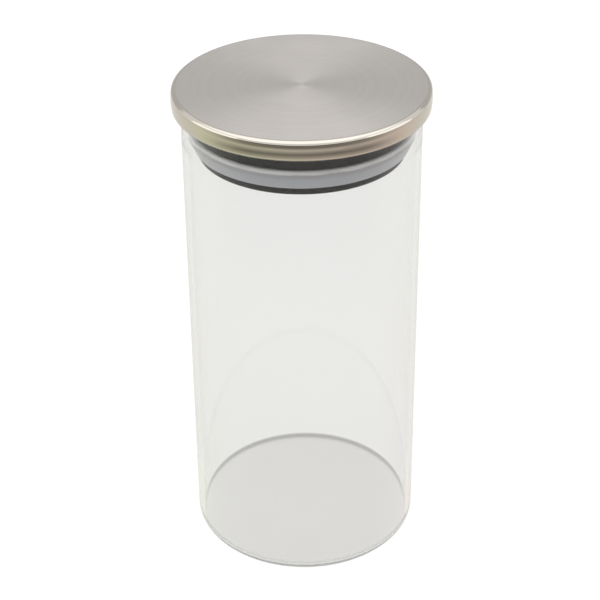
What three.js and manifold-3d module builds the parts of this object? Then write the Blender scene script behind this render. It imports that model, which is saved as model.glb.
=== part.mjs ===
// A lidded glass storage canister, in millimetres, +Z up.
//
// The origin is the centre of the ring that the jar stands on. The jar is a borosilicate tube with a moulded
// base. Its lid lifts straight off and is four pieces: a drawn steel cover, hemmed round the flange of a ribbed
// plastic core; a silicone lip seal in a groove round the core's neck; and a plastic base plate that snaps into
// the neck from below, which closes the hollow and traps the seal.

import * as THREE from 'three';
import { mergeVertices } from 'three/addons/utils/BufferGeometryUtils.js';
import Module from 'manifold-3d';

const wasm = await Module();
wasm.setup();

// ---- Driving dimensions ----

const SEGMENTS = 60;                         // facets round every turned piece
const ARC_STEP = THREE.MathUtils.degToRad(30); // widest turn of one facet on a rounded edge
const clearance = 0.3;                       // left between neighbouring pieces

// Jar
const jarRadius = 50;        // outside of the tube
const jarHeight = 208.5;     // standing ring to rim
const glassWall = 2.4;
const floorThickness = 2.6;  // glass between the contents and the plane of the standing ring
const heelRadius = 3.6;      // outer edge of the base
const innerHeelRadius = 1.5; // inner edge of the base
const rimRounding = 1;       // fire-polished edges of the rim
const standingRing = 9;      // width of the flat ring that the jar stands on
const kickUp = 1.1;          // rise of the shallow dome inside that ring

// Lid cover
const sheet = 0.5;           // steel thickness
const shoulderRadius = 1.7;  // outside of the edge between the top and the upright rim
const rimBow = 0.2;          // how far the rim swells out between its shoulder and its hem
const hemRadius = 1.3;       // outside of the lower edge, which is rolled inwards
const hemClearance = 0.9;    // from the jar to the hem

// Lid core
const neckClearance = 4;     // from the jar's bore to the neck, which the seal bridges
const neckWall = 2.4;        // neck, behind the seal's groove
const flangeHeight = 6.2;    // flange that sits over the jar's rim, inside the cover
const flangeRim = 2;         // wall outside the pocket in the flange
const plateThickness = 2;    // top plate, and the floor of the pocket
const neckFillet = 0.8;
const ribCount = 12;
const ribThickness = 1.4;
const ribDepth = 9;          // below the top plate
const hubRadius = 10;        // outside of the ring where the ribs meet
const webDrop = 0.6;         // top of the pocket's webs, below the cover's seat

// Seal, and its groove
const lipDepth = 8.6;        // jar's rim down to the top of the lip
const lipStand = 2.6;        // lip's top above the groove
const lipThickness = 1.1;
const lipContact = 1;        // height of the band that presses on the glass
const lipRounding = 0.5;
const grooveHeight = 5.4;
const grooveDepth = 1.6;
const sleeveThickness = 1.2; // silicone inside the groove
const skirtFoot = 2.5;       // how far the foot of the skirt stands out past the neck
const skirtFootHeight = 3.6; // silicone below the V-shaped gap behind the lip

// Base plate
const plateEdgeHeight = 3.6; // edge that shows below the seal
const plateEdgeReach = 0.8;  // edge, outside the neck
const plateEdgeRounding = 1.6;
const plateWeb = 2;          // thickness inside the spigot
const spigotHeight = 7.5;    // ring that stands up inside the neck
const spigotWall = 2;
const beadHeight = 1.6;      // snap bead round the spigot
const beadReach = 0.7;
const beadDrop = 1.2;        // top of the bead, below the top of the spigot
const slotCount = 6;         // slots that let the spigot bend as it snaps in
const slotWidth = 2.4;
const slotFoot = 1.5;        // spigot left whole below the slots

// ---- Sizes that follow, with the lid's heights counted from the jar's rim ----

const boreRadius = jarRadius - glassWall;
const rimRadius = jarRadius + hemClearance + 2 * hemRadius;
const flangeRadius = rimRadius - sheet - clearance;
const flangeSeat = clearance;
const coreTop = flangeSeat + flangeHeight;
const coverTop = coreTop + clearance + sheet;
const plateUnder = coreTop - plateThickness;
const pocketFloor = flangeSeat + plateThickness;
const neckRadius = boreRadius - neckClearance;
const grooveRadius = neckRadius - grooveDepth;
const neckBore = grooveRadius - neckWall;
const grooveTop = -lipDepth - lipStand;
const grooveFoot = grooveTop - grooveHeight;
const spigotRadius = neckBore - clearance;
const spigotTop = grooveFoot + spigotHeight;
const beadTop = spigotTop - beadDrop;
const beadChamfer = beadReach / 2;

// ---- Shapes ----

// Points of an outline given by its corners [radius, height, rounding]. A rounded corner becomes an arc that
// meets both sides, and takes no more than half of either. The outline closes unless it runs between two
// points of the axis.
function outline(corners) {
  const points = corners.map(([r, z]) => new THREE.Vector2(r, z));
  const made = [];
  corners.forEach(([, , rounding = 0], i) => {
    const here = points[i];
    const back = points[(i + points.length - 1) % points.length].clone().sub(here);
    const on = points[(i + 1) % points.length].clone().sub(here);
    const cosine = THREE.MathUtils.clamp(back.dot(on) / (back.length() * on.length()), -1, 1);
    const half = Math.acos(cosine) / 2;
    const reach = Math.min(rounding / Math.tan(half), back.length() / 2, on.length() / 2);
    if (!(rounding > 0) || reach < 1e-6) {
      made.push(here);
      return;
    }
    const side = Math.sign(on.cross(back));
    const start = here.clone().addScaledVector(back.normalize(), reach);
    const bisector = back.add(on.normalize()).normalize();
    const centre = here.clone().addScaledVector(bisector, reach / Math.cos(half));
    const turn = Math.PI - 2 * half;
    const steps = Math.max(2, Math.ceil(turn / ARC_STEP));
    for (let s = 0; s <= steps; s++) made.push(start.clone().rotateAround(centre, (side * turn * s) / steps));
  });
  const open = corners[0][0] === 0 && corners[corners.length - 1][0] === 0;
  if (!open) made.push(made[0].clone());
  return made;
}

// Corners along an arc round (r, z), in degrees counted from outwards to upwards.
function arc(r, z, radius, from, to) {
  const steps = Math.max(2, Math.ceil(THREE.MathUtils.degToRad(Math.abs(to - from)) / ARC_STEP));
  return Array.from({ length: steps + 1 }, (_, s) => {
    const angle = THREE.MathUtils.degToRad(from + ((to - from) * s) / steps);
    return [r + radius * Math.cos(angle), z + radius * Math.sin(angle)];
  });
}

// A turned solid, from corners that run anticlockwise with the radius to the right and the height up.
function turned(corners) {
  return new THREE.LatheGeometry(outline(corners), SEGMENTS).rotateX(Math.PI / 2);
}

// A radial box, from one radius and height to another, turned to its place round the axis.
function radialBox(from, to, foot, top, thickness, angle) {
  return new THREE.BoxGeometry(to - from, thickness, top - foot)
    .translate((from + to) / 2, 0, (foot + top) / 2)
    .rotateZ(angle);
}

function toSolid(geometry) {
  const bare = geometry.toNonIndexed();
  bare.deleteAttribute('normal');
  bare.deleteAttribute('uv');
  const merged = mergeVertices(bare, 1e-5);
  const index = Array.from(merged.index.array);
  const triangles = [];
  for (let i = 0; i < index.length; i += 3) {
    const [a, b, c] = index.slice(i, i + 3);
    if (a !== b && b !== c && c !== a) triangles.push(a, b, c);
  }
  return new wasm.Manifold(
    new wasm.Mesh({
      numProp: 3,
      vertProperties: merged.attributes.position.array,
      triVerts: new Uint32Array(triangles),
    }),
  );
}

function toGeometry(solid) {
  const mesh = solid.getMesh();
  const geometry = new THREE.BufferGeometry();
  geometry.setAttribute('position', new THREE.BufferAttribute(mesh.vertProperties, 3));
  geometry.setIndex(new THREE.BufferAttribute(mesh.triVerts, 1));
  geometry.computeVertexNormals();
  return geometry;
}

// ---- Materials ----

const glass = new THREE.MeshStandardMaterial({
  color: 0xe9ece8,
  roughness: 0.02,
  metalness: 0,
  transparent: true,
  opacity: 0.35,
});
const steel = new THREE.MeshStandardMaterial({ color: 0xc6c2bd, roughness: 0.32, metalness: 1 });
const blackPlastic = new THREE.MeshStandardMaterial({ color: 0x1d1d1f, roughness: 0.42, metalness: 0 });
const silicone = new THREE.MeshStandardMaterial({ color: 0xa4a6aa, roughness: 0.5, metalness: 0 });

// ---- Pieces ----

// Under the base, a shallow dome inside the flat standing ring stays clear of the table.
function jarGeometry() {
  const ringInner = jarRadius - heelRadius - standingRing;
  const domeRadius = (ringInner ** 2 + kickUp ** 2) / (2 * kickUp);
  const domeAngle = Math.asin(ringInner / domeRadius);
  const domeSteps = 4;
  const dome = Array.from({ length: domeSteps }, (_, s) => {
    const angle = (domeAngle * s) / domeSteps;
    return [domeRadius * Math.sin(angle), kickUp - domeRadius * (1 - Math.cos(angle))];
  });
  return turned([
    ...dome,
    [ringInner, 0],
    [jarRadius, 0, heelRadius],
    [jarRadius, jarHeight, rimRounding],
    [boreRadius, jarHeight, rimRounding],
    [boreRadius, floorThickness, innerHeelRadius],
    [0, floorThickness],
  ]);
}

// Drawn from one sheet: flat top, rounded shoulder and a rim that swells a little, with the lower edge rolled
// inwards until it lies under the core's flange.
function coverGeometry() {
  const hemCentre = rimRadius - hemRadius;
  const bowHeight = coverTop - shoulderRadius;
  const bow = [1 / 3, 2 / 3].map((up) => [rimRadius + 4 * rimBow * up * (1 - up), bowHeight * up]);
  const liner = bow.map(([r, z]) => [r - sheet, z]).reverse();
  return turned([
    [0, coverTop - sheet],
    [rimRadius - sheet, coverTop - sheet, shoulderRadius - sheet],
    ...liner,
    ...arc(hemCentre, 0, hemRadius - sheet, 360, 180),
    ...arc(hemCentre, 0, hemRadius, 180, 360),
    ...bow,
    [rimRadius, coverTop, shoulderRadius],
    [0, coverTop],
  ]);
}

// Moulded core. Its flange fills the cover and carries the lid on the jar's rim, and its neck hangs into the
// jar. A pocket keeps the flange as thin as the other walls; it opens upwards, under the cover, and the ribbed
// hollow in the neck opens downwards. A recess in the neck's bore takes the base plate's bead.
function coreGeometry() {
  const pocketInner = neckBore + neckWall;
  const pocketOuter = flangeRadius - flangeRim;
  const recessTop = beadTop + clearance;
  const recessFoot = beadTop - beadHeight - clearance;
  const recessRadius = neckBore + beadReach;
  let core = toSolid(turned([
    [0, plateUnder],
    [neckBore, plateUnder, neckFillet],
    [neckBore, recessTop],
    [recessRadius, recessTop - beadChamfer],
    [recessRadius, recessFoot + beadChamfer],
    [neckBore, recessFoot],
    [neckBore, grooveFoot + clearance],
    [grooveRadius, grooveFoot + clearance],
    [grooveRadius, grooveTop],
    [neckRadius, grooveTop],
    [neckRadius, flangeSeat, neckFillet],
    [flangeRadius, flangeSeat],
    [flangeRadius, coreTop, shoulderRadius - sheet],
    [pocketOuter, coreTop],
    [pocketOuter, pocketFloor],
    [pocketInner, pocketFloor],
    [pocketInner, coreTop],
    [0, coreTop],
  ]));

  // Ribs under the top plate run from a hub ring to the neck, and webs cross the pocket in line with them.
  // Each is sunk a little into what it joins.
  const sink = ribThickness / 2;
  core = core.add(toSolid(turned([
    [hubRadius - ribThickness, plateUnder - ribDepth],
    [hubRadius, plateUnder - ribDepth],
    [hubRadius, plateUnder + sink],
    [hubRadius - ribThickness, plateUnder + sink],
  ])));
  for (let i = 0; i < ribCount; i++) {
    const angle = (2 * Math.PI * (i + 0.5)) / ribCount;
    const rib = radialBox(hubRadius - sink, neckBore + sink, plateUnder - ribDepth, plateUnder + sink,
      ribThickness, angle);
    const web = radialBox(pocketInner - sink, pocketOuter + sink, pocketFloor - sink, coreTop - webDrop,
      ribThickness, angle);
    core = core.add(toSolid(rib)).add(toSolid(web));
  }
  return toGeometry(core);
}

// Silicone ring: a sleeve in the groove, and a skirt that flares up and out from its foot to the lip. The real
// lip bends in and presses on the glass; here it stops just short of it.
function sealGeometry() {
  const lipRadius = boreRadius - clearance;
  const lipTop = -lipDepth;
  const foot = grooveFoot + clearance;
  const sleeveInner = grooveRadius + clearance;
  const sleeveOuter = sleeveInner + sleeveThickness;
  return turned([
    [sleeveInner, foot],
    [neckRadius + skirtFoot, foot, lipRounding],
    [lipRadius, lipTop - lipContact, lipContact],
    [lipRadius, lipTop, lipRounding],
    [lipRadius - lipThickness, lipTop, lipRounding],
    [sleeveOuter + lipRounding, foot + skirtFootHeight, lipRounding],
    [sleeveOuter, grooveTop - clearance],
    [sleeveInner, grooveTop - clearance],
  ]);
}

// Plate that closes the neck from below. Its edge holds the seal up, and its slotted spigot snaps into the
// recess in the neck's bore.
function basePlateGeometry() {
  const foot = grooveFoot - plateEdgeHeight;
  const edge = neckRadius + plateEdgeReach;
  const spigotInner = spigotRadius - spigotWall;
  const beadRadius = spigotRadius + beadReach;
  let plate = toSolid(turned([
    [0, foot],
    [edge, foot, plateEdgeRounding],
    [edge, grooveFoot],
    [spigotRadius, grooveFoot],
    [spigotRadius, beadTop - beadHeight],
    [beadRadius, beadTop - beadHeight + beadChamfer],
    [beadRadius, beadTop - beadChamfer],
    [spigotRadius, beadTop],
    [spigotRadius, spigotTop],
    [spigotInner, spigotTop],
    [spigotInner, foot + plateWeb],
    [0, foot + plateWeb],
  ]));
  for (let i = 0; i < slotCount; i++) {
    const slot = radialBox(spigotInner - spigotWall, beadRadius + spigotWall, grooveFoot + slotFoot,
      spigotTop + spigotWall, slotWidth, (2 * Math.PI * i) / slotCount);
    plate = plate.subtract(toSolid(slot));
  }
  return toGeometry(plate);
}

// ---- Assembly ----

function piece(name, geometry, material) {
  const mesh = new THREE.Mesh(geometry, material);
  mesh.name = name;
  return mesh;
}

const canister = new THREE.Group();
canister.add(piece('glass_jar', jarGeometry(), glass));

const lid = new THREE.Group();
lid.position.z = jarHeight;
lid.add(
  piece('lid_cover', coverGeometry(), steel),
  piece('lid_core', coreGeometry(), blackPlastic),
  piece('seal_ring', sealGeometry(), silicone),
  piece('lid_base_plate', basePlateGeometry(), blackPlastic),
);
canister.add(lid);

export default canister;
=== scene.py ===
# A lidded glass storage canister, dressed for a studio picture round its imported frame. Metres, +Z up.
# The jar is a clear borosilicate tube. The lid lifts straight off: a brushed steel cover on a black moulded
# core, with a milky silicone seal round its neck and a black plate that closes it from below.

import math

import bpy
from mathutils import Matrix, Vector


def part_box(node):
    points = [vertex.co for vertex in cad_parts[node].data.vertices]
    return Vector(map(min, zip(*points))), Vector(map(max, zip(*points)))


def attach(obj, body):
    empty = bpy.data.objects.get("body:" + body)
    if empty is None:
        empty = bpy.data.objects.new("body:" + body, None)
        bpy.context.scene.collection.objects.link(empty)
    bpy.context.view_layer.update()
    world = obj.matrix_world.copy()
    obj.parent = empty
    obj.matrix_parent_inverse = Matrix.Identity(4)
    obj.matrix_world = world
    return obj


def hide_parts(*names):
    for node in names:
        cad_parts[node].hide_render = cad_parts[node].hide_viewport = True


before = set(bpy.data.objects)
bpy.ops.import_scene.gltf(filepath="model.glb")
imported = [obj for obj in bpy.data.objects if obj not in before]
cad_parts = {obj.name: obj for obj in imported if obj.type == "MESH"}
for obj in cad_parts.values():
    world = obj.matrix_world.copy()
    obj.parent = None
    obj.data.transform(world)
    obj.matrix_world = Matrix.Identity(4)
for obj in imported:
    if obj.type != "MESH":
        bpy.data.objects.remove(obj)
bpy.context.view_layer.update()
scene = bpy.context.scene

# ---- Camera ----
# A long lens looks down on the canister from the front. Its frame is shifted a little, so that the canister
# fills it from the lid to the base.

focal_length = 97.9
frame_shift = (-0.005, -0.0776)
camera_place = (0, -0.6098, 0.4931)
looking_down = math.radians(30.38)
camera_roll = math.radians(-0.5)

lens = bpy.data.cameras.new("long_lens")
lens.lens = focal_length
lens.shift_x, lens.shift_y = frame_shift
camera = bpy.data.objects.new("camera", lens)
camera.matrix_world = (
    Matrix.Translation(camera_place)
    @ Matrix.Rotation(math.pi / 2 - looking_down, 4, "X")
    @ Matrix.Rotation(camera_roll, 4, "Z")
)
scene.collection.objects.link(camera)
scene.camera = camera
scene.view_settings.view_transform = "Standard"

# ---- Studio ----
# A white sweep in a white room, which lights the canister a pale grey, under a wide soft lamp and between
# two upright ones. Only reflections see the fronts of the lamps, a grey wall behind the canister, and a
# warm banded card that lies round its foot.

room_grey = 0.35
sweep_white = 0.8
sweep_glow = 0.93
sweep_shade = 0.12
sweep_reach = 3.0
sweep_gap = 0.0002


def add(tree, kind, inputs=None, **settings):
    """Adds a node, sets its properties, and sets or links its inputs by name or number."""
    made = tree.nodes.new(kind)
    for name, value in settings.items():
        setattr(made, name, value)
    for name, value in (inputs or {}).items():
        if isinstance(value, bpy.types.NodeSocket):
            tree.links.new(value, made.inputs[name])
        else:
            made.inputs[name].default_value = value
    return made


def math_node(tree, operation, *values, clamp=False):
    """The result of a Math node."""
    inputs = dict(enumerate(values))
    return add(tree, "ShaderNodeMath", inputs, operation=operation, use_clamp=clamp).outputs[0]


def ramp(tree, value, low, high, to_low=0.0, to_high=1.0):
    """A value that goes smoothly from one number to another between two limits."""
    inputs = {"Value": value, "From Min": low, "From Max": high, "To Min": to_low, "To Max": to_high}
    return add(tree, "ShaderNodeMapRange", inputs, interpolation_type="SMOOTHSTEP").outputs[0]


def seen_directly(tree):
    """One where the camera, a mirror reflection or a view through glass looks, and nothing elsewhere."""
    path = add(tree, "ShaderNodeLightPath").outputs
    seen = math_node(tree, "ADD", path["Is Camera Ray"], path["Is Glossy Ray"])
    return math_node(tree, "ADD", seen, path["Is Transmission Ray"], clamp=True)


def from_axis(tree):
    """Place in the object's own coordinates: its x, y and z, and its distance from the Z axis."""
    place = add(tree, "ShaderNodeTexCoord").outputs["Object"]
    x, y, z = add(tree, "ShaderNodeSeparateXYZ", {0: place}).outputs
    flat = add(tree, "ShaderNodeCombineXYZ", {"X": x, "Y": y}).outputs[0]
    return x, y, z, add(tree, "ShaderNodeVectorMath", {0: flat}, operation="LENGTH").outputs["Value"]


def linked(name, data):
    """A new object that shows data, in the scene."""
    made = bpy.data.objects.new(name, data)
    scene.collection.objects.link(made)
    return made


def sheet_of(name, corners, material):
    """A flat sheet of the studio, from its four corners."""
    mesh = bpy.data.meshes.new(name)
    mesh.from_pydata(corners, [], [(0, 1, 2, 3)])
    mesh.materials.append(material)
    made = linked(name, mesh)
    return made


def level(x, y, z):
    """The corners of a rectangle that faces up, from its limits along X and Y."""
    return [(x[0], y[0], z), (x[1], y[0], z), (x[1], y[1], z), (x[0], y[1], z)]


def bare_tree(owner):
    """The node tree of a material or a world, with nothing in it."""
    owner.use_nodes = True
    owner.node_tree.nodes.clear()
    return owner.node_tree


scene.world = bpy.data.worlds.new("white_room")
tree = bare_tree(scene.world)
span = {"Value": seen_directly(tree), "To Min": room_grey, "To Max": 1.0}
strength = add(tree, "ShaderNodeMapRange", span).outputs[0]
background = add(tree, "ShaderNodeBackground", {"Color": (1, 1, 1, 1), "Strength": strength})
add(tree, "ShaderNodeOutputWorld", {"Surface": background.outputs[0]})

sweep_paper = bpy.data.materials.new("sweep_paper")
tree = bare_tree(sweep_paper)
paper = add(tree, "ShaderNodeBsdfDiffuse", {"Color": (sweep_white,) * 3 + (1,)})
shadow_keeper = add(tree, "ShaderNodeBsdfDiffuse", {"Color": (sweep_shade,) * 3 + (1,)})
white = add(tree, "ShaderNodeEmission", {"Strength": sweep_glow})
shown = add(tree, "ShaderNodeAddShader", {0: shadow_keeper.outputs[0], 1: white.outputs[0]})
mixed = add(tree, "ShaderNodeMixShader", {0: seen_directly(tree), 1: paper.outputs[0], 2: shown.outputs[0]})
add(tree, "ShaderNodeOutputMaterial", {"Surface": mixed.outputs[0]})
sweep_width = (-sweep_reach, sweep_reach)
sheet_of("sweep", level(sweep_width, sweep_width, -sweep_gap), sweep_paper)

# The card is banded in front of the canister, by the distance from its axis. It turns even and pale towards
# the sides and the back.
card_reach = 1.6
card_starts = (0.049, 0.052)
card_tones = (
    (0.24, 0.82),
    (0.305, 0.58),
    (0.36, 0.32),
    (0.41, 0.22),
    (0.47, 0.38),
    (0.53, 0.56),
    (0.59, 0.72),
    (0.67, 0.5),
    (0.78, 0.22),
    (0.95, 0.08),
)
card_side_tone = 0.87
banded_from = (-0.2, 0.75)
coloured_from = (-0.6, 0.1)
card_pale = (1.0, 0.98, 0.92, 1)
card_hues = ((0.0, (0.97, 1.0, 0.77)), (0.5, (1.0, 0.92, 0.8)), (1.0, (1.0, 0.87, 0.79)))


def colour_ramp(tree, value, stops):
    """A colour that runs through some stops as a value goes from 0 to 1."""
    made = add(tree, "ShaderNodeValToRGB", {0: value})
    elements = made.color_ramp.elements
    elements.remove(elements[1])
    for number, (place, colour) in enumerate(stops):
        element = elements[0] if number == 0 else elements.new(place)
        element.position = place
        element.color = (*colour, 1)
    return made.outputs["Color"]


def mixed_colour(tree, share, first, second):
    """A colour that goes from the first to the second as the share goes from 0 to 1."""
    mix = add(tree, "ShaderNodeMix", {"Factor": share}, data_type="RGBA")
    for socket, colour in ((mix.inputs[6], first), (mix.inputs[7], second)):
        if isinstance(colour, bpy.types.NodeSocket):
            tree.links.new(colour, socket)
        else:
            socket.default_value = colour
    return mix.outputs[2]


warm_card = bpy.data.materials.new("warm_card")
tree = bare_tree(warm_card)
x, y, z, away = from_axis(tree)
ahead = math_node(tree, "DIVIDE", math_node(tree, "MULTIPLY", y, -1.0), away)
across = math_node(tree, "DIVIDE", x, away)
share = math_node(tree, "DIVIDE", away, card_reach)
bands = colour_ramp(tree, share, [(distance / card_reach, (tone,) * 3) for distance, tone in card_tones])
banded = ramp(tree, ahead, *banded_from)
hue = colour_ramp(tree, math_node(tree, "MULTIPLY_ADD", across, 0.5, 0.5), card_hues)
hue = mixed_colour(tree, ramp(tree, ahead, *coloured_from), card_pale, hue)
side = add(tree, "ShaderNodeMix", {"Factor": banded, "A": card_side_tone, "B": bands}, data_type="FLOAT")
tinted = add(tree, "ShaderNodeVectorMath", {0: hue, 3: side.outputs[0]}, operation="SCALE")
glow = add(tree, "ShaderNodeEmission", {"Color": tinted.outputs[0]})
clear = add(tree, "ShaderNodeBsdfTransparent")
begun = ramp(tree, away, *card_starts)
mixed = add(tree, "ShaderNodeMixShader", {0: begun, 1: clear.outputs[0], 2: glow.outputs[0]})
add(tree, "ShaderNodeOutputMaterial", {"Surface": mixed.outputs[0]})


def in_reflections_only(made):
    """Hides an object from everything but reflections."""
    for ray in ("camera", "diffuse", "transmission", "volume_scatter", "shadow"):
        setattr(made, "visible_" + ray, False)


def even_glow(name, tone):
    """A material of one brightness."""
    material = bpy.data.materials.new(name)
    tree = bare_tree(material)
    glow = add(tree, "ShaderNodeEmission", {"Strength": tone})
    add(tree, "ShaderNodeOutputMaterial", {"Surface": glow.outputs[0]})
    return material


def upright_card(name, start, end, heights, tone):
    """An evenly bright upright card that shows in reflections only, between two places (x, y)."""
    low, high = heights
    corners = [(*start, low), (*end, low), (*end, high), (*start, high)]
    in_reflections_only(sheet_of(name, corners, even_glow(name, tone)))


card_width = (-card_reach, card_reach)
in_reflections_only(sheet_of("warm_card", level(card_width, card_width, -sweep_gap / 2), warm_card))

wall_tone = 0.64
wall_reach = 2.0
wall_distance = 1.3
wall_height = 1.2
left_end, right_end = (-wall_reach, wall_distance), (wall_reach, wall_distance)
upright_card("back_wall", left_end, right_end, (0.0, wall_height), wall_tone)

top_lamp_size = (2.0, 1.5)
top_lamp_place = (0, -0.3, 1.1)
top_lamp_radiance = 1.75
top_front_tone = 1.75
side_lamp_size = (0.9, 1.1)
side_lamp_place = (1.2, -0.3, 0.47)
side_lamp_radiance = 1.4
side_front_tone = 1.65


def soft_lamp(name, size, place, radiance, turn=0.0):
    """A rectangular lamp of an even radiance, not seen itself. It shines down until it is turned about Y."""
    data = bpy.data.lights.new(name, "AREA")
    data.shape = "RECTANGLE"
    data.size, data.size_y = size
    data.energy = radiance * math.pi * size[0] * size[1]
    made = linked(name, data)
    made.location = place
    made.rotation_euler.y = turn
    made.visible_camera = made.visible_transmission = made.visible_glossy = False


soft_lamp("top_lamp", top_lamp_size, top_lamp_place, top_lamp_radiance)
across, along = top_lamp_size
x, y, height = top_lamp_place
front = level((x - across / 2, x + across / 2), (y - along / 2, y + along / 2), height)
in_reflections_only(sheet_of("top_lamp_front", front, even_glow("top_lamp_front", top_front_tone)))

tall, long = side_lamp_size
reach, y, height = side_lamp_place
for name, side in (("left", -1), ("right", 1)):
    x, turn = side * reach, side * math.pi / 2
    soft_lamp(name + "_lamp", side_lamp_size, (x, y, height), side_lamp_radiance, turn)
    start, end = (x, y - long / 2), (x, y + long / 2)
    upright_card(name + "_lamp_front", start, end, (height - tall / 2, height + tall / 2), side_front_tone)

# ---- Glass jar ----
# A drawn borosilicate tube, flame-worked at both ends: a fire-polished rim, and a flat base that stands on a
# wide ring round a shallow dome. The glass round the ring's outer edge, low on the heel, is painted nearly
# black: a painted contact shadow where the jar stands. The glass below the top of the dome is painted darker
# than the wall: a painted shadow of the jar on the paper under it.

glass_wall = 0.0024
floor_thickness = 0.0026
heel_radius = 0.0036
inner_heel_radius = 0.0008
rim_rounding = 0.001
standing_ring = 0.009
kick_up = 0.0011
glass_hue = (0.5, 0.55, 0.45, 1)
glass_density = 12.0
wall_tint = (0.9, 0.9, 0.893, 1)
# A painted shadow: the dome's tint darkens the glass at the bottom, for the shade on the paper under the
# jar.
dome_painted_shadow_tint = (0.7, 0.68, 0.68, 1)
dome_top = 1.5 * kick_up
# A painted contact shadow: the scuff tint, radii and heights paint the glass nearly black round the heel's
# outer edge, where the jar stands.
heel_painted_shadow_tint = (0.25, 0.245, 0.24, 1)
heel_painted_shadow_radii = (0.0463, 0.0498)
heel_painted_shadow_heights = (0.0028, 0.0042)
glass_shadow = (0.9, 0.9, 0.9, 1)
inner_reflections = 1.5


def outline(corners, steps=8, hold=0.0002):
    """Points (radius, height) of an outline, from its corners (radius, height, rounding).

    A rounded corner is an arc of some steps, held by a point just before it and one just after it.
    """
    made = []
    for i, (radius, height, *rounding) in enumerate(corners):
        here = Vector((radius, height))
        if not rounding:
            made.append(here)
            continue
        back = Vector(corners[i - 1][:2]) - here
        on = Vector(corners[(i + 1) % len(corners)][:2]) - here
        half = back.angle(on) / 2
        reach = min(rounding[0] / math.tan(half), back.length * 0.49, on.length * 0.49)
        centre = here + (back.normalized() + on.normalized()).normalized() * reach / math.cos(half)
        start = here + back.normalized() * reach - centre
        turn = (math.pi - 2 * half) * (1 if on.cross(back) > 0 else -1)
        made.append(here + back.normalized() * (reach + min(hold, back.length * 0.01)))
        for s in range(steps + 1):
            made.append(centre + Matrix.Rotation(turn * s / steps, 2) @ start)
        made.append(here + on.normalized() * (reach + min(hold, on.length * 0.01)))
    return made


def finished(tree, geometry, given):
    """Ends a tree: smooth shading with sharp edges kept, instances made real, and the finish given."""
    angle = add(tree, "GeometryNodeInputMeshEdgeAngle").outputs["Unsigned Angle"]
    sharp = add(
        tree, "FunctionNodeCompare", {"A": angle, "B": given["Sharp angle"]}, operation="GREATER_THAN"
    ).outputs[0]
    smooth = add(tree, "GeometryNodeSetShadeSmooth", {"Geometry": geometry}).outputs[0]
    crisp = add(
        tree,
        "GeometryNodeSetShadeSmooth",
        {"Geometry": smooth, "Selection": sharp, "Shade Smooth": False},
        domain="EDGE",
    ).outputs[0]
    single = add(tree, "GeometryNodeRealizeInstances", {"Geometry": crisp}).outputs[0]
    made = add(tree, "GeometryNodeSetMaterial", {"Geometry": single, "Material": given["Finish"]})
    add(tree, "NodeGroupOutput", {"Piece": made.outputs[0]})


def nodes_tree(name, **sockets):
    """An empty Geometry Nodes tree with named inputs, and the outputs of its input node."""
    tree = bpy.data.node_groups.new(name, "GeometryNodeTree")
    for socket, kind in {**sockets, "Sharp angle": "Float", "Finish": "Material"}.items():
        tree.interface.new_socket(socket, in_out="INPUT", socket_type="NodeSocket" + kind)
    tree.interface.new_socket("Piece", in_out="OUTPUT", socket_type="NodeSocketGeometry")
    return tree, add(tree, "NodeGroupInput").outputs


def turning_tree():
    """Turns an outline round the Z axis."""
    tree, given = nodes_tree("Turned", Outline="Geometry", Facets="Int")
    curve = add(tree, "GeometryNodeMeshToCurve", {"Mesh": given["Outline"]})
    section = add(
        tree,
        "GeometryNodeTransform",
        {"Geometry": curve.outputs[0], "Translation": (-1, 0, 0), "Scale": (1, -1, 1)},
    )
    circle = add(tree, "GeometryNodeCurvePrimitiveCircle", {"Resolution": given["Facets"], "Radius": 1.0})
    swept = add(
        tree, "GeometryNodeCurveToMesh", {"Curve": circle.outputs[0], "Profile Curve": section.outputs[0]}
    )
    closed = add(tree, "GeometryNodeMergeByDistance", {"Geometry": swept.outputs[0], "Distance": 1e-6})
    outward = add(tree, "GeometryNodeFlipFaces", {"Mesh": closed.outputs[0]})
    finished(tree, outward.outputs[0], given)
    return tree


sharp_angle = math.radians(40)


def made_by(tree, name, mesh, **inputs):
    """A plain mesh object: what a Geometry Nodes tree makes of a mesh, with its inputs set by name."""
    source = linked(name, mesh)
    nodes = source.modifiers.new("nodes", "NODES")
    nodes.node_group = tree
    inputs["Sharp_angle"] = sharp_angle
    for item in tree.interface.items_tree:
        key = item.name.replace(" ", "_")
        if item.item_type == "SOCKET" and key in inputs:
            nodes[item.identifier] = inputs[key]
    made = bpy.data.meshes.new_from_object(source.evaluated_get(bpy.context.evaluated_depsgraph_get()))
    source.modifiers.remove(nodes)
    source.data = made
    return source


turned_tree = turning_tree()
facets = 192


def turned(name, points, finish, closed=False):
    """A piece turned from an outline that runs anticlockwise, with the radius to the right."""
    mesh = bpy.data.meshes.new(name)
    edges = [(i, i + 1) for i in range(len(points) - 1)]
    if closed:
        edges.append((len(points) - 1, 0))
    mesh.from_pydata([(p[0], p[1], 0) for p in points], edges, [])
    return made_by(turned_tree, name, mesh, Facets=facets, Finish=finish)


def principled(name, **settings):
    """A material with one Principled BSDF, its tree and that shader. Settings name its sockets."""
    made = bpy.data.materials.new(name)
    made.use_nodes = True
    shader = made.node_tree.nodes["Principled BSDF"]
    for socket, value in settings.items():
        shader.inputs[socket.replace("_", " ")].default_value = value
    return made, made.node_tree, shader


jar_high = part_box("glass_jar")[1]
jar_radius = jar_high.x
jar_height = jar_high.z
bore_radius = jar_radius - glass_wall

clear_glass, tree, shader = principled("clear_glass", Roughness=0.0, IOR=1.47, Transmission_Weight=1.0)
x, y, z, away = from_axis(tree)
# The glass below the top of the dome is darker: a painted shadow under the jar.
tint = mixed_colour(tree, math_node(tree, "LESS_THAN", z, dome_top), wall_tint, dome_painted_shadow_tint)
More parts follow.
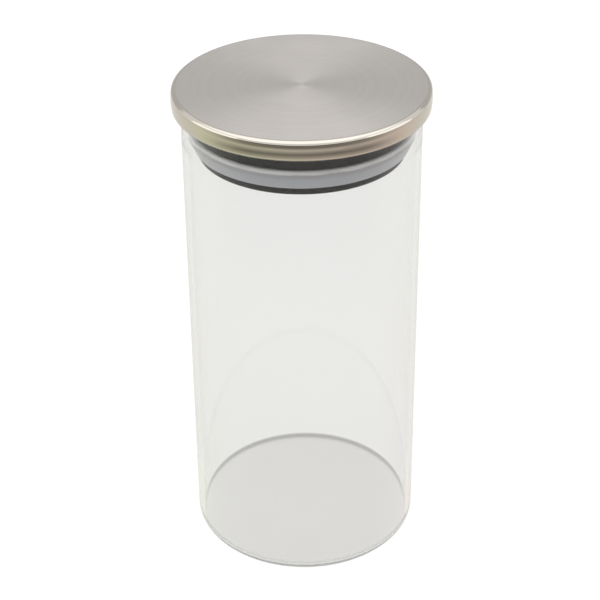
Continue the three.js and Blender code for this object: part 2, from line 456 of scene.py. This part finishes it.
# A painted contact shadow, nearly black, round the heel's outer edge.
low = ramp(tree, z, *heel_painted_shadow_heights, 1.0, 0.0)
outer = ramp(tree, away, *heel_painted_shadow_radii)
heel_painted_shadow = math_node(tree, "MULTIPLY", low, outer)
tree.links.new(mixed_colour(tree, heel_painted_shadow, tint, heel_painted_shadow_tint), shader.inputs["Base Color"])
absorbed = add(tree, "ShaderNodeVolumeAbsorption", {"Color": glass_hue, "Density": glass_density})
tree.links.new(absorbed.outputs[0], tree.nodes["Material Output"].inputs["Volume"])
# A shadow, and light that was reflected in the glass more than once, leave it straight.
path = add(tree, "ShaderNodeLightPath").outputs
spent = math_node(tree, "GREATER_THAN", path["Glossy Depth"], inner_reflections)
let_out = math_node(tree, "MAXIMUM", path["Is Shadow Ray"], spent)
through = add(tree, "ShaderNodeBsdfTransparent", {"Color": glass_shadow})
lit = add(tree, "ShaderNodeMixShader", {0: let_out, 1: shader.outputs[0], 2: through.outputs[0]})
tree.links.new(lit.outputs[0], tree.nodes["Material Output"].inputs["Surface"])

ring_inner = jar_radius - heel_radius - standing_ring
dome_radius = (ring_inner**2 + kick_up**2) / (2 * kick_up)
dome_span = math.asin(ring_inner / dome_radius)
dome_steps = 12
dome = []
for step in range(dome_steps):
    angle = dome_span * step / dome_steps
    dome.append((dome_radius * math.sin(angle), kick_up - dome_radius * (1 - math.cos(angle))))
jar = turned(
    "jar",
    outline(
        [
            *dome,
            (ring_inner, 0),
            (jar_radius, 0, heel_radius),
            (jar_radius, jar_height, rim_rounding),
            (bore_radius, jar_height, rim_rounding),
            (bore_radius, floor_thickness, inner_heel_radius),
            (0, floor_thickness),
        ]
    ),
    clear_glass,
)
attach(jar, "jar")
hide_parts("glass_jar")

# ---- Lid cover ----
# Drawn from one sheet of stainless steel: a flat top, brushed in circles, and a polished rim that swells a
# little, with its lower edge rolled inwards under the flange of the core. The underside of that rolled edge
# is painted nearly black: painted shade.

sheet = 0.0005
shoulder_radius = 0.0017
brushed_inset = 0.0002
rim_swell = 0.0002
hem_radius = 0.0013
hem_shade_edges = (0.1, 0.9)
crown_height = 0.0006
line_depth = 0.000003
line_contrast = 0.03
line_roughness = 0.03
band_weight = 0.45
arcs_per_metre = 90.0
middle_tones = (0.3, 0.7)
smudge_edges = (0.45, 0.75)
brushed_base = (0.64, 0.607, 0.576, 1)
polished_base = (0.6, 0.57, 0.52, 1)
polished_warm = (0.582, 0.542, 0.48, 1)
# Painted shade on the underside of the rolled hem, which is near black.
hem_painted_shade = (0.1, 0.098, 0.095, 1)


def effect(name, inputs, outputs):
    """A shader node group of values: its tree, the sockets it is given, and the sockets it fills."""
    tree = bpy.data.node_groups.new(name, "ShaderNodeTree")
    for socket, value in inputs.items():
        made = tree.interface.new_socket(socket, in_out="INPUT", socket_type="NodeSocketFloat")
        made.default_value = value
    for socket in outputs:
        tree.interface.new_socket(socket, in_out="OUTPUT", socket_type="NodeSocketFloat")
    return tree, add(tree, "NodeGroupInput").outputs, add(tree, "NodeGroupOutput").inputs


def noise(tree, scale, detail=2.0, vector=None, w=None):
    """The value of a noise texture, on a vector or along one number."""
    inputs = {"Scale": scale, "Detail": detail}
    if w is None:
        return add(tree, "ShaderNodeTexNoise", {**inputs, "Vector": vector}).outputs[0]
    return add(tree, "ShaderNodeTexNoise", {**inputs, "W": w}, noise_dimensions="1D").outputs[0]


def placed(tree, group, **inputs):
    """The outputs of a shader node group placed in a material, with its inputs set by name."""
    node = add(tree, "ShaderNodeGroup", node_tree=group)
    for name, value in inputs.items():
        node.inputs[name.replace("_", " ")].default_value = value
    return node.outputs


def turned_lines_effect():
    """Rings left by an abrasive on turning metal: fine lines broken into arcs, and broader bands."""
    inputs = {"Lines per metre": 6000.0, "Bands per metre": 400.0, "Break up": 0.4}
    tree, given, filled = effect("turned_lines", inputs, ("Line", "Band"))
    x, y, z, away = from_axis(tree)
    along = math_node(tree, "ADD", away, z)
    place = add(tree, "ShaderNodeTexCoord").outputs["Object"]
    patches = math_node(tree, "SUBTRACT", noise(tree, arcs_per_metre, vector=place), 0.5)
    line = noise(tree, 1.0, 3.0, w=math_node(tree, "MULTIPLY", along, given["Lines per metre"]))
    broken = math_node(tree, "ADD", line, math_node(tree, "MULTIPLY", patches, given["Break up"]))
    tree.links.new(broken, filled["Line"])
    band = noise(tree, 1.0, w=math_node(tree, "MULTIPLY", along, given["Bands per metre"]))
    tree.links.new(band, filled["Band"])
    return tree


def handling_effect():
    """Roughness of a surface that hands have touched: mostly clean, with soft smudges."""
    inputs = {"Clean": 0.3, "Smudged": 0.4, "Patches per metre": 40.0}
    tree, given, filled = effect("handling", inputs, ("Roughness",))
    place = add(tree, "ShaderNodeTexCoord").outputs["Object"]
    share = ramp(tree, noise(tree, given["Patches per metre"], 4.0, vector=place), *smudge_edges)
    span = math_node(tree, "SUBTRACT", given["Smudged"], given["Clean"])
    rough = math_node(tree, "MULTIPLY_ADD", share, span, given["Clean"])
    tree.links.new(rough, filled["Roughness"])
    return tree


turned_lines = turned_lines_effect()
handling = handling_effect()


def scaled(colour, factor):
    """A colour made lighter or darker."""
    return tuple(factor * part for part in colour[:3]) + (1,)


def bumped(tree, shader, height, scale):
    """Lets a height, times a scale in metres, shape the shader's normal."""
    bump = add(tree, "ShaderNodeBump", {"Height": height, "Distance": scale})
    tree.links.new(bump.outputs[0], shader.inputs["Normal"])


cover_low, cover_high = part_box("lid_cover")
cover_top = cover_high.z
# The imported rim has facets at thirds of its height, where the swell of a bow is 8/9 of its full size.
rim_bow = rim_swell * 8 / 9
rim_radius = cover_high.x - rim_bow
hem_centre = Vector((rim_radius - hem_radius, cover_low.z + hem_radius))

brushed_steel, tree, shader = principled("brushed_steel", Metallic=1.0, Anisotropic=0.8)
x, y, z, away = from_axis(tree)
outward = add(tree, "ShaderNodeCombineXYZ", {"X": x, "Y": y}).outputs[0]
outward = add(tree, "ShaderNodeVectorMath", {0: outward}, operation="NORMALIZE").outputs[0]
tree.links.new(outward, shader.inputs["Tangent"])
lines = placed(tree, turned_lines, Lines_per_metre=5200.0, Bands_per_metre=330.0, Break_up=0.5)
touched = placed(tree, handling, Clean=0.3, Smudged=0.32, Patches_per_metre=35.0)
line_share = ramp(tree, lines["Line"], *middle_tones)
band_share = ramp(tree, lines["Band"], *middle_tones)
dark_line = scaled(brushed_base, 1 - line_contrast)
light_line = scaled(brushed_base, 1 + line_contrast)
share = math_node(tree, "MULTIPLY", line_share, 1 - band_weight)
share = math_node(tree, "MULTIPLY_ADD", band_share, band_weight, share)
tree.links.new(mixed_colour(tree, share, dark_line, light_line), shader.inputs["Base Color"])
rough = math_node(tree, "MULTIPLY_ADD", line_share, line_roughness, touched["Roughness"])
tree.links.new(rough, shader.inputs["Roughness"])
crown_curve = -crown_height / cover_high.x**2
crown = math_node(tree, "MULTIPLY", math_node(tree, "MULTIPLY", away, away), crown_curve)
bumped(tree, shader, math_node(tree, "MULTIPLY_ADD", lines["Line"], line_depth, crown), 1.0)

polished_steel, tree, shader = principled("polished_steel", Metallic=1.0, Roughness=0.12)
lines = placed(tree, turned_lines, Lines_per_metre=9000.0, Bands_per_metre=900.0, Break_up=0.3)
touched = placed(tree, handling, Clean=0.09, Smudged=0.17, Patches_per_metre=60.0)
x, y, z, away = from_axis(tree)
# The lower part of the rolled hem is painted nearly black: painted shade on its underside.
out_of_hem_shade = ramp(tree, z, *(cover_low.z + hem_radius * share for share in hem_shade_edges))
share = ramp(tree, lines["Band"], *middle_tones)
bright = mixed_colour(tree, share, polished_warm, polished_base)
tree.links.new(mixed_colour(tree, out_of_hem_shade, hem_painted_shade, bright), shader.inputs["Base Color"])
tree.links.new(touched["Roughness"], shader.inputs["Roughness"])
bumped(tree, shader, lines["Line"], line_depth)


def arc(centre, radius, start, stop, steps=12):
    """Points on an arc, with its angles in degrees from outwards to upwards."""
    angles = [math.radians(start + (stop - start) * s / steps) for s in range(steps + 1)]
    return [(centre.x + radius * math.cos(a), centre.y + radius * math.sin(a)) for a in angles]


bow_height = cover_top - shoulder_radius - hem_centre.y
bow_steps = 8
bow = []
for step in range(1, bow_steps):
    up = step / bow_steps
    bow.append((rim_radius + 4 * rim_bow * up * (1 - up), hem_centre.y + bow_height * up))
shoulder_centre = Vector((rim_radius - shoulder_radius, cover_top - shoulder_radius))
brushed_radius = shoulder_centre.x - brushed_inset
liner = [(radius - sheet, height) for radius, height in reversed(bow)]
cover = turned(
    "cover",
    [
        (0, cover_top - sheet),
        (brushed_radius, cover_top - sheet),
        *arc(shoulder_centre, shoulder_radius - sheet, 90, 0),
        *liner,
        *arc(hem_centre, hem_radius - sheet, 360, 180),
        *arc(hem_centre, hem_radius, 180, 360),
        *bow,
        *arc(shoulder_centre, shoulder_radius, 0, 90),
        (brushed_radius, cover_top),
        (0, cover_top),
    ],
    brushed_steel,
)
cover.data.materials.append(polished_steel)
for face in cover.data.polygons:
    if face.center.xy.length > brushed_radius or face.center.z < cover_top - sheet / 2:
        face.material_index = 1
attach(cover, "lid")
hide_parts("lid_cover")

# ---- Lid core ----
# A black polypropylene moulding that carries the lid on the jar's rim. Its neck hangs into the mouth, with
# a groove for the seal outside, a snap recess inside, and ribs that run from a hub under its top. Neck, seal
# and plate together are the plug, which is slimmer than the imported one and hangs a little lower.

plate_thickness = 0.002
neck_radius = 0.0422
neck_wall = 0.0024
neck_fillet = 0.0008
groove_depth = 0.0016
groove_height = 0.0054
plug_drop = 0.0005
gap = 0.0003
flange_rim = 0.002
hub_radius = 0.01
rib_count = 12
rib_thickness = 0.0014
rib_depth = 0.009
web_drop = 0.0006
bead_height = 0.0016
bead_reach = 0.0007
bead_drop = 0.0012
spigot_height = 0.0075
black_base = (0.005, 0.0046, 0.0048, 1)
flows_per_metre = 55.0
flow_edges = (0.35, 0.65)
flow_contrast = 1.5
black_grain_depth = 0.000012


def grain_effect():
    """The fine grain of a moulded surface, and the faint flow that the melt leaves in it."""
    inputs = {"Grains per metre": 2500.0, "Flow": 0.3}
    tree, given, filled = effect("moulded_grain", inputs, ("Height", "Tone"))
    place = add(tree, "ShaderNodeTexCoord").outputs["Object"]
    grains = noise(tree, given["Grains per metre"], vector=place)
    flow = noise(tree, flows_per_metre, 3.0, vector=place)
    height = math_node(tree, "MULTIPLY_ADD", flow, given["Flow"], grains)
    tree.links.new(height, filled["Height"])
    tree.links.new(ramp(tree, flow, *flow_edges), filled["Tone"])
    return tree


moulded_grain = grain_effect()

black_plastic, tree, shader = principled("black_plastic", Specular_IOR_Level=0.14)
grain = placed(tree, moulded_grain, Grains_per_metre=2600.0, Flow=0.4)
touched = placed(tree, handling, Clean=0.38, Smudged=0.48, Patches_per_metre=50.0)
flowed = mixed_colour(tree, grain["Tone"], black_base, scaled(black_base, flow_contrast))
tree.links.new(flowed, shader.inputs["Base Color"])
tree.links.new(touched["Roughness"], shader.inputs["Roughness"])
bumped(tree, shader, grain["Height"], black_grain_depth)


def joined_bars_tree(name, operation):
    """A ring of radial bars, joined to a piece or cut out of it."""
    tree, given = nodes_tree(
        name, Piece="Geometry", Count="Int", Bar="Vector", Middle="Float", Height="Float", Turn="Float"
    )
    ring = add(tree, "GeometryNodeMeshCircle", {"Vertices": given["Count"], "Radius": given["Middle"]})
    lift = add(tree, "ShaderNodeCombineXYZ", {"Z": given["Height"]})
    turn = add(tree, "ShaderNodeCombineXYZ", {"Z": given["Turn"]})
    raised = add(
        tree,
        "GeometryNodeTransform",
        {"Geometry": ring.outputs[0], "Translation": lift.outputs[0], "Rotation": turn.outputs[0]},
    )
    outward = add(tree, "GeometryNodeInputPosition")
    flat = add(tree, "ShaderNodeVectorMath", {0: outward.outputs[0], 1: (1, 1, 0)}, operation="MULTIPLY")
    aimed = add(
        tree, "FunctionNodeAlignRotationToVector", {"Vector": flat.outputs[0]}, axis="X", pivot_axis="Z"
    )
    bar = add(tree, "GeometryNodeMeshCube", {"Size": given["Bar"]})
    bars = add(
        tree,
        "GeometryNodeInstanceOnPoints",
        {"Points": raised.outputs[0], "Instance": bar.outputs[0], "Rotation": aimed.outputs[0]},
    )
    solid_bars = add(tree, "GeometryNodeRealizeInstances", {"Geometry": bars.outputs[0]})
    joined = add(tree, "GeometryNodeMeshBoolean", operation=operation, solver="EXACT")
    side = "Mesh 1" if operation == "DIFFERENCE" else "Mesh 2"
    tree.links.new(given["Piece"], joined.inputs[side])
    tree.links.new(solid_bars.outputs[0], joined.inputs["Mesh 2"])
    finished(tree, joined.outputs[0], given)
    return tree


ribbed_tree = joined_bars_tree("Ribbed", "UNION")


def with_bars(tree, piece, finish, count, inner, outer, foot, top, thickness, turn):
    """Joins a ring of radial bars to a piece, or cuts them out of it, and keeps its name."""
    name, mesh = piece.name, piece.data
    bpy.data.objects.remove(piece)
    return made_by(
        tree,
        name,
        mesh,
        Finish=finish,
        Count=count,
        Bar=(outer - inner, thickness, top - foot),
        Middle=(inner + outer) / 2,
        Height=(foot + top) / 2,
        Turn=turn,
    )


core_low, core_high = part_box("lid_core")
core_top = core_high.z
flange_radius = core_high.x
flange_seat = jar_height + gap
plate_under = core_top - plate_thickness
pocket_floor = flange_seat + plate_thickness
neck_foot = core_low.z - plug_drop
groove_foot = neck_foot - gap
groove_radius = neck_radius - groove_depth
groove_top = groove_foot + groove_height
neck_bore = groove_radius - neck_wall
pocket_inner = neck_bore + neck_wall
pocket_outer = flange_radius - flange_rim
spigot_top = groove_foot + spigot_height
bead_top = spigot_top - bead_drop
bead_chamfer = bead_reach / 2
recess_top = bead_top + gap
recess_foot = bead_top - bead_height - gap
recess_radius = neck_bore + bead_reach
sink = rib_thickness / 2
core = turned(
    "core",
    outline(
        [
            (0, plate_under),
            (hub_radius - rib_thickness, plate_under),
            (hub_radius - rib_thickness, plate_under - rib_depth),
            (hub_radius, plate_under - rib_depth),
            (hub_radius, plate_under),
            (neck_bore, plate_under, neck_fillet),
            (neck_bore, recess_top),
            (recess_radius, recess_top - bead_chamfer),
            (recess_radius, recess_foot + bead_chamfer),
            (neck_bore, recess_foot),
            (neck_bore, neck_foot),
            (groove_radius, neck_foot),
            (groove_radius, groove_top),
            (neck_radius, groove_top),
            (neck_radius, flange_seat, neck_fillet),
            (flange_radius, flange_seat),
            (flange_radius, core_top, shoulder_radius - sheet),
            (pocket_outer, core_top),
            (pocket_outer, pocket_floor),
            (pocket_inner, pocket_floor),
            (pocket_inner, core_top),
            (0, core_top),
        ]
    ),
    black_plastic,
)
half_step = math.pi / rib_count
ribs = (hub_radius - sink, neck_bore + sink, plate_under - rib_depth, plate_under + sink)
webs = (pocket_inner - sink, pocket_outer + sink, pocket_floor - sink, core_top - web_drop)
for inner, outer, foot, top in (ribs, webs):
    core = with_bars(
        ribbed_tree, core, black_plastic, rib_count, inner, outer, foot, top, rib_thickness, half_step
    )
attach(core, "lid")
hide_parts("lid_core")

# ---- Seal ring ----
# Moulded in milky silicone: a sleeve in the core's groove, and a skirt that flares up and out to a lip,
# which presses on the glass. The lip's upper edge is bevelled. Its colour is painted nearly white there, a
# painted highlight, and darker just below the lip, a painted shade.

lip_thickness = 0.0012
lip_inset = 0.0011
lip_drop = 0.0012
lip_contact = 0.001
lip_rounding = 0.0003
sleeve_thickness = 0.0012
skirt_foot = 0.0025
skirt_foot_height = 0.0036
# The seal's tones by height, from the foot up: milky grey, a painted shade just below the lip, and a painted
# highlight on its upper edge.
seal_tones_painted_light = (
    (0.1, (0.5, 0.51, 0.55)),
    (0.55, (0.49, 0.5, 0.53)),
    (0.7, (0.43, 0.42, 0.45)),
    (0.84, (0.42, 0.41, 0.43)),
    (0.92, (0.95, 0.92, 0.93)),
)
cloudiness = 0.04
milky_grain_depth = 0.00001

seal_low, seal_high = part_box("seal_ring")
lip_radius = seal_high.x
seal_foot = seal_low.z - plug_drop
lip_top = seal_high.z
lip_edge = lip_radius - lip_inset
sleeve_inner = groove_radius + gap
sleeve_outer = sleeve_inner + sleeve_thickness

milky_silicone, tree, shader = principled(
    "milky_silicone",
    IOR=1.41,
    Specular_IOR_Level=0.4,
    Subsurface_Weight=1.0,
    Subsurface_Scale=0.002,
    Subsurface_Radius=(1.0, 1.0, 1.0),
)
x, y, z, away = from_axis(tree)
grain = placed(tree, moulded_grain, Grains_per_metre=1500.0, Flow=0.6)
touched = placed(tree, handling, Clean=0.42, Smudged=0.52, Patches_per_metre=70.0)
low, high = -cloudiness / 2, 1 - cloudiness / 2
# The colour by height carries the painted shade under the lip and the painted highlight on its upper edge; a
# little random cloudiness shifts it.
span = {"Value": z, "From Min": seal_foot, "From Max": lip_top, "To Min": low, "To Max": high}
height = add(tree, "ShaderNodeMapRange", span).outputs[0]
cloudy_painted_light_height = math_node(tree, "MULTIPLY_ADD", grain["Tone"], cloudiness, height)
tree.links.new(colour_ramp(tree, cloudy_painted_light_height, seal_tones_painted_light), shader.inputs["Base Color"])
tree.links.new(touched["Roughness"], shader.inputs["Roughness"])
bumped(tree, shader, grain["Height"], milky_grain_depth)

seal = turned(
    "seal",
    outline(
        [
            (sleeve_inner, seal_foot),
            (neck_radius + skirt_foot, seal_foot, lip_rounding),
            (lip_radius, lip_top - lip_drop, lip_contact),
            (lip_edge, lip_top, lip_rounding),
            (lip_edge - lip_thickness, lip_top, lip_rounding),
            (sleeve_outer + lip_rounding, seal_foot + skirt_foot_height, lip_rounding),
            (sleeve_outer, groove_top - gap),
            (sleeve_inner, groove_top - gap),
        ]
    ),
    milky_silicone,
    closed=True,
)
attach(seal, "lid")
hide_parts("seal_ring")

# ---- Lid base plate ----
# The black plate that closes the neck from below and traps the seal. Its slotted spigot bends inwards and
# snaps into the recess in the neck.

plate_overhang = 0.0012
plate_edge_rounding = 0.0016
plate_web = 0.002
spigot_wall = 0.002
slot_count = 6
slot_width = 0.0024
slot_foot = 0.0015

plate_radius = neck_radius + plate_overhang
plate_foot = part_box("lid_base_plate")[0].z - plug_drop
spigot_radius = neck_bore - gap
spigot_bore = spigot_radius - spigot_wall
bead_radius = spigot_radius + bead_reach
base_plate = turned(
    "base_plate",
    outline(
        [
            (0, plate_foot),
            (plate_radius, plate_foot, plate_edge_rounding),
            (plate_radius, groove_foot),
            (spigot_radius, groove_foot),
            (spigot_radius, bead_top - bead_height),
            (bead_radius, bead_top - bead_height + bead_chamfer),
            (bead_radius, bead_top - bead_chamfer),
            (spigot_radius, bead_top),
            (spigot_radius, spigot_top),
            (spigot_bore, spigot_top),
            (spigot_bore, plate_foot + plate_web),
            (0, plate_foot + plate_web),
        ]
    ),
    black_plastic,
)
slot_inner, slot_outer = spigot_bore - spigot_wall, bead_radius + spigot_wall
slots = (slot_inner, slot_outer, groove_foot + slot_foot, spigot_top + spigot_wall)
slotted_tree = joined_bars_tree("Slotted", "DIFFERENCE")
base_plate = with_bars(slotted_tree, base_plate, black_plastic, slot_count, *slots, slot_width, 0.0)
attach(base_plate, "lid")
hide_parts("lid_base_plate")
